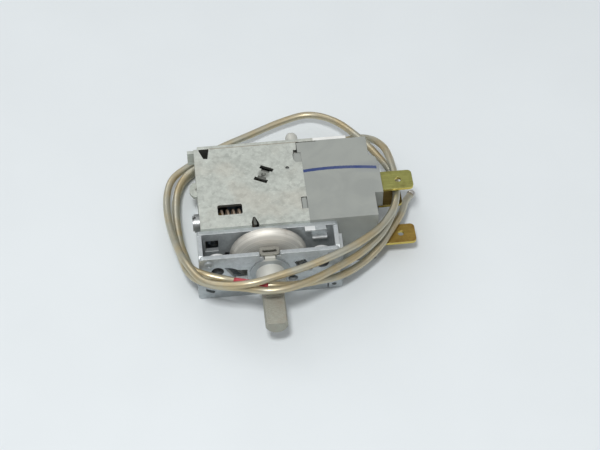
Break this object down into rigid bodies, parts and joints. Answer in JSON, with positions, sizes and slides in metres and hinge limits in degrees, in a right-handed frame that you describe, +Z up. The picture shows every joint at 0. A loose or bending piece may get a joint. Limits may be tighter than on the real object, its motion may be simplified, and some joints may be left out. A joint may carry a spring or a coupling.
{
  "type": "refrigerator thermostat",
  "caption": "Refrigerator thermostat: steel case, D-flat cam shaft, grey changeover switch with brass push-on terminals and a coiled capillary tube",
  "frame": {"origin": "where the shaft's axis crosses the outer face of the mounting plate", "axes": "-Y along the shaft towards its free end, +X across the plate towards the terminals, +Z up with the part lying on its flat side"},
  "size_m": [0.0705, 0.0788, 0.0202],
  "materials": {
    "galvanised_sheet": "spangled zinc coat",
    "zinc_casting": "satin zinc",
    "turned_steel": "turned",
    "spring_wire": "drawn and phosphated",
    "grey_moulding": "fine moulded grain",
    "laminate": "pressed laminate",
    "pale_moulding": "smooth",
    "brass_tab": "aged brass",
    "bronze": "rolled bronze",
    "capillary_metal": "tinned copper",
    "silver_contact": "silver"
  },
  "bodies": {
    "case": {"mounting_bracket": "galvanised_sheet", "housing_frame": "galvanised_sheet", "top_plate": "galvanised_sheet", "front_bush": "zinc_casting", "retaining_clip": "turned_steel", "follower_pin": "turned_steel", "lever_pin": "turned_steel", "bellows_cup": "turned_steel", "bellows": "bronze", "capillary_neck": "capillary_metal", "capillary_tube": "capillary_metal", "capillary_tip": "capillary_metal", "differential_screw": "turned_steel", "bracket_rivets": "turned_steel", "switch_case": "grey_moulding", "switch_cover": "laminate", "front_contact": "silver_contact", "back_contact": "silver_contact", "upper_terminal": "brass_tab", "middle_terminal": "brass_tab", "lower_terminal": "brass_tab"},
    "cam": {"cam_shaft": "zinc_casting"},
    "follower": {"cam_follower": "galvanised_sheet", "range_spring": "spring_wire", "range_screw": "turned_steel", "spring_nut": "brass_tab"},
    "lever": {"main_lever": "galvanised_sheet"},
    "button": {"thrust_button": "turned_steel"},
    "pin": {"push_pin": "pale_moulding"},
    "blade": {"contact_blade": "bronze", "moving_contact": "silver_contact", "toggle_spring": "bronze"}
  },
  "joints": [
    {"name": "cam_turn", "type": "hinge", "parent": "case", "child": "cam", "pos_m": [0, 0, 0], "axis": [0, -1, 0], "range_deg": [-150, 150]},
    {"name": "follower_swing", "type": "hinge", "parent": "case", "child": "follower", "pos_m": [-0.0142, 0.0119, 0], "axis": [0, 0, 1], "range_deg": [-4.3, 4.3], "deforming": ["range_spring"]},
    {"name": "lever_tilt", "type": "hinge", "parent": "case", "child": "lever", "pos_m": [0.0074, 0.0276, 0], "axis": [0, 0, 1], "range_deg": [0, 1.5]},
    {"name": "button_push", "type": "slide", "parent": "case", "child": "button", "axis": [0, -1, 0], "range_m": [0, 0.00036], "deforming": ["bellows"]},
    {"name": "pin_push", "type": "slide", "parent": "case", "child": "pin", "axis": [1, 0, 0], "range_m": [0, 0.0003]},
    {"name": "blade_snap", "type": "hinge", "parent": "case", "child": "blade", "pos_m": [0.0182, 0.0224, 0.002], "axis": [0, 0, 1], "range_deg": [0, 2.9]}
  ],
  "couplings": [
    {"joint": "follower_swing", "follows": "cam_turn", "ratio": -0.028294},
    {"joint": "button_push", "follows": "lever_tilt", "m_per_rad": 0.0134},
    {"joint": "pin_push", "follows": "lever_tilt", "m_per_rad": 0.0111},
    {"joint": "blade_snap", "follows": "lever_tilt", "ratio": 1.8814}
  ]
}
